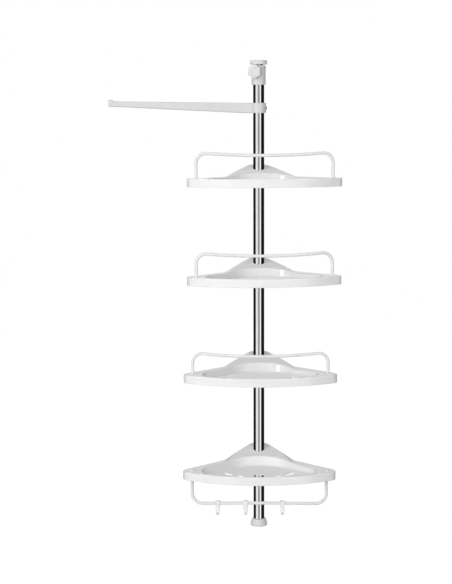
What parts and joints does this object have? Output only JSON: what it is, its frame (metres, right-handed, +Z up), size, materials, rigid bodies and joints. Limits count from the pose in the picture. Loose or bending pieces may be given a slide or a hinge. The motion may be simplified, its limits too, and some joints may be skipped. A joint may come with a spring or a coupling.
{
  "type": "tension pole shelf unit",
  "caption": "Floor-to-ceiling tension pole carrying adjustable corner shelf trays with wire rails, hooks, a swinging towel arm and a clamp knob.",
  "frame": {"origin": "on the pole's axis, at the foot pad's lower face", "axes": "+Z up along the pole, -Y out of the corner towards the front, -X along the towel arm"},
  "size_m": [0.5213, 0.2315, 1.0714],
  "materials": {
    "chrome": "polished",
    "white_plastic": "gloss",
    "base_plastic": "satin",
    "nylon": "matte",
    "coated_wire": "white plastic coat",
    "steel": "zinc plated",
    "white_cap": "white",
    "brass": "turned",
    "rubber": "moulded"
  },
  "bodies": {
    "pole": {"foot_pad": "rubber", "foot_cup": "base_plastic", "lower_pole": "chrome", "upper_pole": "chrome", "pole_joint_sleeve": "nylon", "guide_bush": "nylon", "clamp_coupling": "white_plastic"},
    "inner_tube_body": {"inner_tube": "chrome", "spring_seat": "nylon", "plunger_pin": "steel", "plunger_spring": "steel"},
    "ceiling_head": {"ceiling_plunger": "base_plastic", "ceiling_pad": "rubber"},
    "knob": {"clamp_knob": "white_plastic", "knob_nut": "brass"},
    "spindle": {"clamp_spindle": "steel"},
    "arm": {"towel_arm": "white_plastic", "arm_clamp_screw": "steel", "arm_clamp_nut": "steel"},
    "top_sleeve_body": {"top_sleeve": "nylon"},
    "top_shelf": {"top_tray": "white_plastic", "top_rail": "coated_wire", "top_rail_screws": "steel"},
    "upper_sleeve_body": {"upper_sleeve": "nylon"},
    "upper_shelf": {"upper_tray": "white_plastic", "upper_rail": "coated_wire", "upper_rail_screws": "steel"},
    "lower_sleeve_body": {"lower_sleeve": "nylon"},
    "lower_shelf": {"lower_tray": "white_plastic", "lower_rail": "coated_wire", "lower_rail_screws": "steel"},
    "bottom_sleeve_body": {"bottom_sleeve": "nylon"},
    "bottom_shelf": {"bottom_tray": "white_plastic", "hanging_rail": "coated_wire", "hanging_rail_screws": "white_cap"},
    "left_hook_body": {"left_hook": "white_plastic"},
    "middle_hook_body": {"middle_hook": "white_plastic"},
    "right_hook_body": {"right_hook": "white_plastic"}
  },
  "joints": [
    {"name": "pole_extension", "type": "slide", "parent": "pole", "child": "inner_tube_body", "axis": [0, 0, 1], "range_m": [0, 0.8]},
    {"name": "ceiling_plunger_slide", "type": "slide", "parent": "inner_tube_body", "child": "ceiling_head", "axis": [0, 0, 1], "range_m": [0, 0.025]},
    {"name": "clamp_knob_turn", "type": "hinge", "parent": "pole", "child": "knob", "pos_m": [0, 0, 1.046], "axis": [-0.342, -0.9397, 0], "range_deg": [0, 540]},
    {"name": "clamp_spindle_slide", "type": "slide", "parent": "pole", "child": "spindle", "axis": [-0.342, -0.9397, 0], "range_m": [0, 0.0015]},
    {"name": "towel_arm_swing", "type": "hinge", "parent": "pole", "child": "arm", "pos_m": [0, 0, 0.9542], "axis": [0, 0, 1], "continuous": true},
    {"name": "top_shelf_height", "type": "slide", "parent": "pole", "child": "top_sleeve_body", "axis": [0, 0, 1], "range_m": [-0.06, 0.06]},
    {"name": "top_shelf_turn", "type": "hinge", "parent": "top_sleeve_body", "child": "top_shelf", "pos_m": [0, 0, 0.8126], "axis": [0, 0, 1], "continuous": true},
    {"name": "upper_shelf_height", "type": "slide", "parent": "pole", "child": "upper_sleeve_body", "axis": [0, 0, 1], "range_m": [-0.06, 0.06]},
    {"name": "upper_shelf_turn", "type": "hinge", "parent": "upper_sleeve_body", "child": "upper_shelf", "pos_m": [0, 0, 0.5987], "axis": [0, 0, 1], "continuous": true},
    {"name": "lower_shelf_height", "type": "slide", "parent": "pole", "child": "lower_sleeve_body", "axis": [0, 0, 1], "range_m": [-0.06, 0.06]},
    {"name": "lower_shelf_turn", "type": "hinge", "parent": "lower_sleeve_body", "child": "lower_shelf", "pos_m": [0, 0, 0.3819], "axis": [0, 0, 1], "continuous": true},
    {"name": "bottom_shelf_height", "type": "slide", "parent": "pole", "child": "bottom_sleeve_body", "axis": [0, 0, 1], "range_m": [-0.05, 0.06]},
    {"name": "bottom_shelf_turn", "type": "hinge", "parent": "bottom_sleeve_body", "child": "bottom_shelf", "pos_m": [0, 0, 0.164], "axis": [0, 0, 1], "continuous": true},
    {"name": "left_hook_slide", "type": "hinge", "parent": "bottom_shelf", "child": "left_hook_body", "pos_m": [-0.00192, 0.36694, -0.08069], "axis": [-0.0017, 0.3183, 0.948], "range_deg": [-2.63, 2.57]},
    {"name": "middle_hook_slide", "type": "hinge", "parent": "bottom_shelf", "child": "middle_hook_body", "pos_m": [-0.00192, 0.36694, -0.08069], "axis": [-0.0017, 0.3183, 0.948], "range_deg": [-2.55, 3.53]},
    {"name": "right_hook_slide", "type": "hinge", "parent": "bottom_shelf", "child": "right_hook_body", "pos_m": [-0.00192, 0.36694, -0.08069], "axis": [-0.0017, 0.3183, 0.948], "range_deg": [-3.54, 6.92]}
  ],
  "couplings": [
    {"joint": "clamp_spindle_slide", "follows": "clamp_knob_turn", "m_per_rad": 0.00015915}
  ]
}
